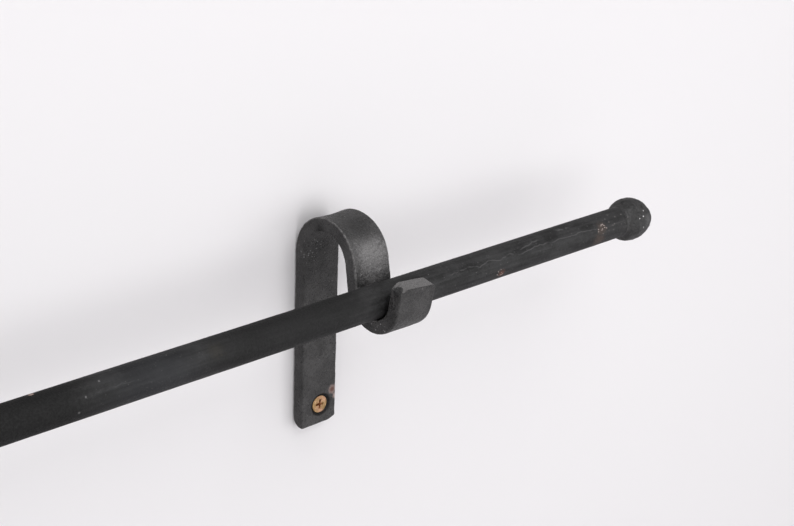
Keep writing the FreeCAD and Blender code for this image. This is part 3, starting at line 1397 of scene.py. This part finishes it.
def rod_finish(rod_end: Vector) -> BlackSteel:
    """The rod's finish, with its wandering seam and the bare places near its right-hand end, three
    painted glints, and painted lightening beside the ball's seat.
    """

    def spot(x: float, y: float, z: float) -> Vector:
        """Place in mm, x from the rod's end and the others from its axis."""
        return rod_end + Vector((x, y, z)) * MM

    brown = (0.075, 0.055, 0.045, 1.0)
    pale = (0.66, 0.56, 0.52, 1.0)
    rows = (
        (-372.0, -7.0, 0.0, 58.0, grey(0.0005), 0.95, 0.4, 0.14, 0.5),
        (-297.0, -7.0, 0.0, 34.0, (0.012, 0.013, 0.016, 1.0), 0.7, 0.9, 0.0, 0.1),
        (-226.0, -7.0, 0.0, 52.0, grey(0.002), 0.85, 0.4, 0.08, 0.5),
        (-299.0, -7.0, 2.0, 34.0, grey(0.09), 0.5, 0.8, 0.0, 0.7, 0.12, 1200.0),
        (-80.0, -7.0, 2.0, 70.0, grey(0.1), 0.5, 0.8, 0.0, 0.7, 0.12),
        (-20.0, -7.2, 3.3, 4.6, brown, 0.7, 1.3, 0.1, 0.2),
        (-22.0, -7.4, -2.5, 6.0, brown, 0.7, 1.3, 0.1, 0.2),
        (-19.5, -7.2, 3.5, 4.0, pale, 0.95, 0.9, 0.1, 0.7, 0.8, 950.0),
        # painted lightening of the rod's end beside the ball's seat, evening out the shade in the
        # joint
        (-2.0, -7.0, 2.0, 10.0, grey(0.03), 0.6, 1.2, 0.0, 0.2),
        (-12.0, -5.5, 5.5, 6.0, grey(0.25, 0.05), 0.7, 0.9, 0.1, 0.7, 0.35),
        (-2.5, -6.5, 4.8, 3.6, grey(0.3, 0.05), 0.8, 0.9, 0.1, 0.7, 0.5),
        (-95.0, -7.6, -2.6, 2.8, (0.12, 0.055, 0.04, 1.0), 0.8, 1.2, 0.1, 0.3),
        (-96.0, -7.6, -2.4, 2.8, pale, 0.9, 0.9, 0.1, 0.7, 0.7, 950.0),
        (-350.5, 1.6, 7.8, 1.3, (0.42, 0.31, 0.27, 1.0), 0.9, 1.1),
        # three painted glints on the rod's left part
        (-322.9, -3.6, 7.2, 0.75, grey(0.22), 0.7, 1.4, 0.1, 0.1),
        (-331.2, -6.9, 4.0, 0.65, grey(0.2), 0.7, 1.4, 0.1, 0.1),
        (-335.2, -7.9, -1.3, 0.75, grey(0.16), 0.7, 1.4, 0.1, 0.1),
        (-267.0, -6.0, 5.2, 5.5, (0.045, 0.041, 0.033, 1.0), 0.4, 2.2, 0.1, 0.1),
    )
    level = rod_end.z
    seams = (
        Seam(rod_end.x - 134 * MM, rod_end.x - 22 * MM, level + 4.9 * MM, -0.004, 0.5),
        Seam(rod_end.x - 84 * MM, rod_end.x - 64 * MM, level + 6.4 * MM, 0.0, 0.5),
        Seam(rod_end.x - 52 * MM, rod_end.x - 40 * MM, level + 7.5 * MM, 0.0, 0.6),
        Seam(rod_end.x - 420 * MM, rod_end.x - 300 * MM, level + 3.2 * MM, 0.01, 0.25),
    )
    return BlackSteel(
        name="Blackened rod steel",
        slot="rod_blackened_steel",
        dark=grey(0.001, -0.02),
        light=grey(0.03, -0.01),
        worn=grey(0.11),
        mottle_scale=70.0,
        mottle_contrast=0.12,
        grain_depth=0.00016,
        scratch_share=0.45,
        scratch_depth=0.9,
        streaks=1.6,
        speck_share=0.05,
        roughness=0.58,
        shine=0.4,
        patches=laid_out(spot, rows),
        seams=seams,
    )


def ball_finish(ball: BallFinial) -> BlackSteel:
    """The ball's finish: darker and more speckled, with painted glints on its outer end and a
    painted lighter flank round the seat.
    """

    def spot(x: float, y: float, z: float) -> Vector:
        """Place in mm from the middle of the seat, x outwards."""
        return ball.seat + Vector((ball.side.value * x, y, z)) * MM

    rows = (
        # painted glints on the ball's outer end
        (10.2, -10.6, 2.5, 5.2, grey(0.75), 0.95, 0.9, -0.1, 0.7, 0.4, 560.0),
        (14.0, -9.0, 1.0, 5.0, grey(0.09), 0.7, 0.9, 0.0, 0.2),
        (1.8, -7.6, 4.6, 3.4, grey(0.2, 0.05), 0.7, 0.9, 0.1, 0.7, 0.3),
        # painted lightening of the flank round the seat, where it turns away from the light
        (0.0, 0.0, 0.0, 12.5, grey(0.05), 0.2, 0.4, 0.0, 0.6),
    )
    return BlackSteel(
        name=f"Black iron ball {ball.side.word}",
        slot="cast_black_finial",
        dark=grey(0.006),
        light=grey(0.042, 0.01),
        worn=grey(0.3, 0.02),
        mottle_scale=260.0,
        mottle_contrast=0.13,
        grain_scale=1000.0,
        grain_depth=0.0004,
        pits=0.6,
        wear=0.0,
        speck_share=0.12,
        speck_size=0.1,
        roughness=0.42,
        patches=laid_out(spot, rows),
    )


YELLOW_ZINC = BrightSteel(
    name="Yellow zinc",
    slot="yellow_zinc",
    base=(0.72, 0.43, 0.27, 1.0),
    stain=(0.50, 0.33, 0.15, 1.0),
    grime=(0.12, 0.05, 0.02, 1.0),
)
TURNED_STEEL = BrightSteel(
    name="Turned steel",
    slot="turned_steel",
    base=grey(0.5),
    stain=grey(0.36, 0.02),
    grime=grey(0.2, 0.05),
)


# ---------------------------------------------------------------- room, light and camera


@dataclass
class Studio:
    """Pale wall and floor with soft light. None of it belongs to the object."""

    wall_gap: float = 0.4 * MM
    floor_drop: float = 0.9
    spread: float = 12.0

    def build(self) -> None:
        """Make the wall, the floor, the sky and the lights."""
        half, gap, foot = self.spread / 2, self.wall_gap, -self.floor_drop
        corners = [(-half, gap, foot), (half, gap, foot), (half, gap, half), (-half, gap, half)]
        wall = self._sheet("wall", corners)
        wall.data.materials.append(self._plain("Pale wall", 0.85, see_through_back=True))
        wall.visible_diffuse = False
        wall.visible_glossy = False
        wall.visible_shadow = False
        corners = [(-half, -half, 0.0), (half, -half, 0.0), (half, half, 0.0), (-half, half, 0.0)]
        floor = self._sheet("floor", corners)
        floor.location.z = foot
        floor.data.materials.append(self._plain("Pale floor", 0.80, see_through_back=False))
        self._sky()
        low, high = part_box("right_bracket")
        focus = Vector(((low.x + high.x) / 2, (low.y + high.y) / 2, high.z / 2))
        self._softbox("key", focus, Vector((0.62, -0.76, -0.05)), 1.7, 1.1, 6.5)
        self._softbox("front", focus, Vector((-0.05, -1.0, 0.1)), 1.0, 0.7, 2.4)
        self._softbox("top", focus, Vector((0.0, -0.5, 0.9)), 1.5, 1.2, 11.0)
        self._softbox("left_fill", focus, Vector((-0.75, -0.62, 0.3)), 2.2, 1.6, 5.2)

    def _sheet(self, name: str, corners: list[Point]) -> bpy.types.Object:
        """One flat sheet, marked as stage."""
        mesh = bpy.data.meshes.new(name)
        mesh.from_pydata(corners, [], [[0, 1, 2, 3]])
        sheet = bpy.data.objects.new(name, mesh)
        bpy.context.scene.collection.objects.link(sheet)
        return sheet

    def _plain(self, name: str, tone: float, see_through_back: bool) -> bpy.types.Material:
        """A plain pale paint, clear from behind if asked."""
        made = bpy.data.materials.new(name)
        made.use_nodes = True
        made.node_tree.nodes.clear()
        wiring = Wiring(made.node_tree)
        place = wiring.node("ShaderNodeTexCoord").outputs["Object"]
        cloud = wiring.noise(place, 1.5, 3.0)
        colour = wiring.blend(cloud, grey(tone * 0.985), grey(tone))
        paint = wiring.node("ShaderNodeBsdfDiffuse", {"Color": colour}).outputs[0]
        if see_through_back:
            behind = wiring.node("ShaderNodeNewGeometry").outputs["Backfacing"]
            clear = wiring.node("ShaderNodeBsdfTransparent").outputs[0]
            paint = wiring.node("ShaderNodeMixShader", {0: behind, 1: paint, 2: clear}).outputs[0]
        out = wiring.node("ShaderNodeOutputMaterial")
        wiring.tree.links.new(paint, out.inputs["Surface"])
        return made

    def _sky(self) -> None:
        """Even pale light from all round."""
        world = bpy.data.worlds.new("Studio")
        bpy.context.scene.world = world
        world.use_nodes = True
        back = world.node_tree.nodes["Background"]
        back.inputs["Color"].default_value = (0.94, 0.92, 0.934, 1.0)
        back.inputs["Strength"].default_value = 0.5

    def _softbox(
        self,
        name: str,
        focus: Vector,
        direction: Vector,
        distance: float,
        size: float,
        power: float,
    ) -> None:
        """One square area light aimed at the focus.

        Args:
            name: The light's name.
            focus: Where it points.
            direction: From the focus to the light.
            distance: How far away it stands.
            size: Its side.
            power: Its power, in watts.
        """
        data = bpy.data.lights.new(name, "AREA")
        data.shape = "SQUARE"
        data.size = size
        data.energy = power
        light = bpy.data.objects.new(name, data)
        light.location = focus + direction.normalized() * distance
        light.rotation_euler = (focus - light.location).to_track_quat("-Z", "Y").to_euler()
        bpy.context.scene.collection.objects.link(light)


@dataclass(frozen=True)
class ViewPoint:
    """The camera, placed from the right-hand bracket at the wall, at the screw's height."""

    offset: Vector = Vector((-0.47487, -0.55279, 0.36615))
    yaw: float = math.radians(43.895)
    pitch: float = math.radians(21.723)
    roll: float = math.radians(2.264)
    lens: float = 73.188
    sensor: float = 36.0

    def build(self) -> None:
        """Make the camera and choose it for the scene."""
        low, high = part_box("right_bracket")
        origin = Vector(((low.x + high.x) / 2, high.y, 0.0))
        data = bpy.data.cameras.new("view")
        data.lens = self.lens
        data.sensor_width = self.sensor
        data.clip_start = 0.01
        data.clip_end = 100.0
        camera = bpy.data.objects.new("view", data)
        level = math.cos(self.pitch)
        heading = Vector((math.sin(self.yaw), math.cos(self.yaw), 0.0))
        forward = heading * level - Vector((0.0, 0.0, math.sin(self.pitch)))
        across = Vector((math.cos(self.yaw), -math.sin(self.yaw), 0.0))
        above = across.cross(forward)
        right = across * math.cos(self.roll) + above * math.sin(self.roll)
        up = above * math.cos(self.roll) - across * math.sin(self.roll)
        camera.matrix_world = (
            (right.x, right.y, right.z, 0.0),
            (up.x, up.y, up.z, 0.0),
            (-forward.x, -forward.y, -forward.z, 0.0),
            (*(origin + self.offset), 1.0),
        )
        bpy.context.scene.collection.objects.link(camera)
        bpy.context.scene.camera = camera


def main() -> None:
    """Build every piece, dress it and tie it to the frame."""
    logging.basicConfig(level=logging.INFO, format="%(name)s: %(message)s")
    bpy.context.scene.view_settings.view_transform = "Standard"
    ViewPoint().build()
    Studio().build()
    effects = Effects()
    low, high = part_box("rod_tube")
    rod_end = Vector((high.x, (low.y + high.y) / 2, (low.z + high.z) / 2))
    dress(Rod().build(), rod_finish(rod_end), effects, "rod", "rod_tube", Vector((0.0, 0.0, 0.0)))
    for side in Side:
        word = side.word
        shift = Vector((0.0, 0.0, 0.0)) if side is Side.RIGHT else Vector((0.37, 0.11, 0.23))
        bracket = ForgedBracket(side)
        ball = BallFinial(side)
        screw = WoodScrew(side, math.radians(-5.0 if side is Side.RIGHT else 37.0))
        for piece, finish, body, node in (
            (bracket.build(), strap_finish(bracket), "wall_brackets", "bracket"),
            (screw.build(), YELLOW_ZINC, "wall_brackets", "bracket_screw"),
            (EndInsert(side).build(), TURNED_STEEL, "rod_carrier", "end_insert"),
            (FinialStud(side).build(), TURNED_STEEL, f"{word}_stud", "finial_stud"),
            (ball.build(), ball_finish(ball), f"{word}_finial", "ball_finial"),
        ):
            dress(piece, finish, effects, body, f"{word}_{node}", shift)


if __name__ == "__main__":
    main()
